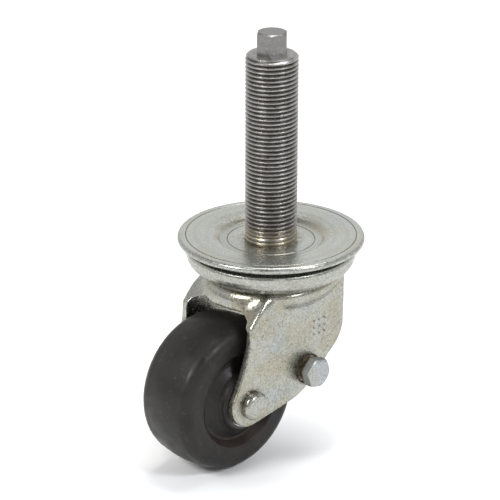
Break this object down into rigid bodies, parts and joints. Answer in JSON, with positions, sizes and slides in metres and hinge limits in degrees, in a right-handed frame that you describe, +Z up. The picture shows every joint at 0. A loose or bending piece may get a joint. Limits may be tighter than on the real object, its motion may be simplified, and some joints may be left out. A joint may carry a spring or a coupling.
{
  "type": "trailer jack wheel",
  "caption": "Swivelling wheel on a threaded stem with a dished flange, ball bearing fork and a turn-key wheel lock, for the foot of a jack leg.",
  "frame": {"origin": "on the swivel axis, level with the flange's seating face", "axes": "+Z up the stem, the wheel trails towards -X, the axle lies along Y, the wheel lock's hexagon faces -Y"},
  "size_m": [0.1124, 0.0862, 0.2011],
  "materials": {
    "stem_steel": "oiled bright steel thread, brownish towards the flange",
    "zinc_plate": "zinc plated pressed steel, faint turning marks, small dark pits",
    "zinc_fork": "zinc plated pressed steel, slightly yellow, speckled, stained round the axle",
    "zinc_bright": "bright bluish zinc plating",
    "bearing_steel": "ground and polished bearing steel",
    "wheel_polymer": "charcoal moulded polymer, satin",
    "seal_polymer": "black moulded polymer"
  },
  "bodies": {
    "stem_head": {"threaded_stem": "stem_steel", "top_plate": "zinc_plate", "kingpin_spacer": "bearing_steel", "lower_race": "bearing_steel", "kingpin_washer": "zinc_bright", "kingpin_nut": "zinc_bright"},
    "upper_ball_row": {"upper_balls": "bearing_steel"},
    "lower_ball_row": {"lower_balls": "bearing_steel"},
    "fork_head": {"fork": "zinc_fork", "race_cup": "zinc_plate", "swivel_seal": "seal_polymer", "lower_cup": "bearing_steel", "axle": "zinc_fork", "axle_washer": "zinc_plate", "axle_sleeve": "bearing_steel", "thrust_washer_near": "bearing_steel", "thrust_washer_far": "bearing_steel"},
    "wheel_body": {"wheel": "wheel_polymer", "bearing_shell": "bearing_steel", "hub_seal_near": "seal_polymer", "hub_seal_far": "seal_polymer"},
    "roller_row": {"bearing_rollers": "bearing_steel", "roller_cage": "seal_polymer"},
    "wheel_lock": {"brake_shaft": "zinc_bright", "brake_clips": "bearing_steel"}
  },
  "joints": [
    {"name": "swivel", "type": "hinge", "parent": "stem_head", "child": "fork_head", "pos_m": [0, 0, 0], "axis": [0, 0, 1], "continuous": true},
    {"name": "upper_ball_orbit", "type": "hinge", "parent": "stem_head", "child": "upper_ball_row", "pos_m": [0, 0, 0], "axis": [0, 0, 1], "continuous": true},
    {"name": "lower_ball_orbit", "type": "hinge", "parent": "stem_head", "child": "lower_ball_row", "pos_m": [0, 0, 0], "axis": [0, 0, 1], "continuous": true},
    {"name": "wheel_spin", "type": "hinge", "parent": "fork_head", "child": "wheel_body", "pos_m": [-0.0333, 0, -0.0684], "axis": [0, 1, 0], "continuous": true},
    {"name": "roller_orbit", "type": "hinge", "parent": "fork_head", "child": "roller_row", "pos_m": [-0.0333, 0, -0.0684], "axis": [0, 1, 0], "continuous": true},
    {"name": "lock_turn", "type": "hinge", "parent": "fork_head", "child": "wheel_lock", "pos_m": [0.00185, 0, -0.0613], "axis": [0, -1, 0], "range_deg": [0, 28]}
  ],
  "couplings": [
    {"joint": "upper_ball_orbit", "follows": "swivel", "ratio": 0.5},
    {"joint": "lower_ball_orbit", "follows": "swivel", "ratio": 0.5},
    {"joint": "roller_orbit", "follows": "wheel_spin", "ratio": 0.593}
  ]
}
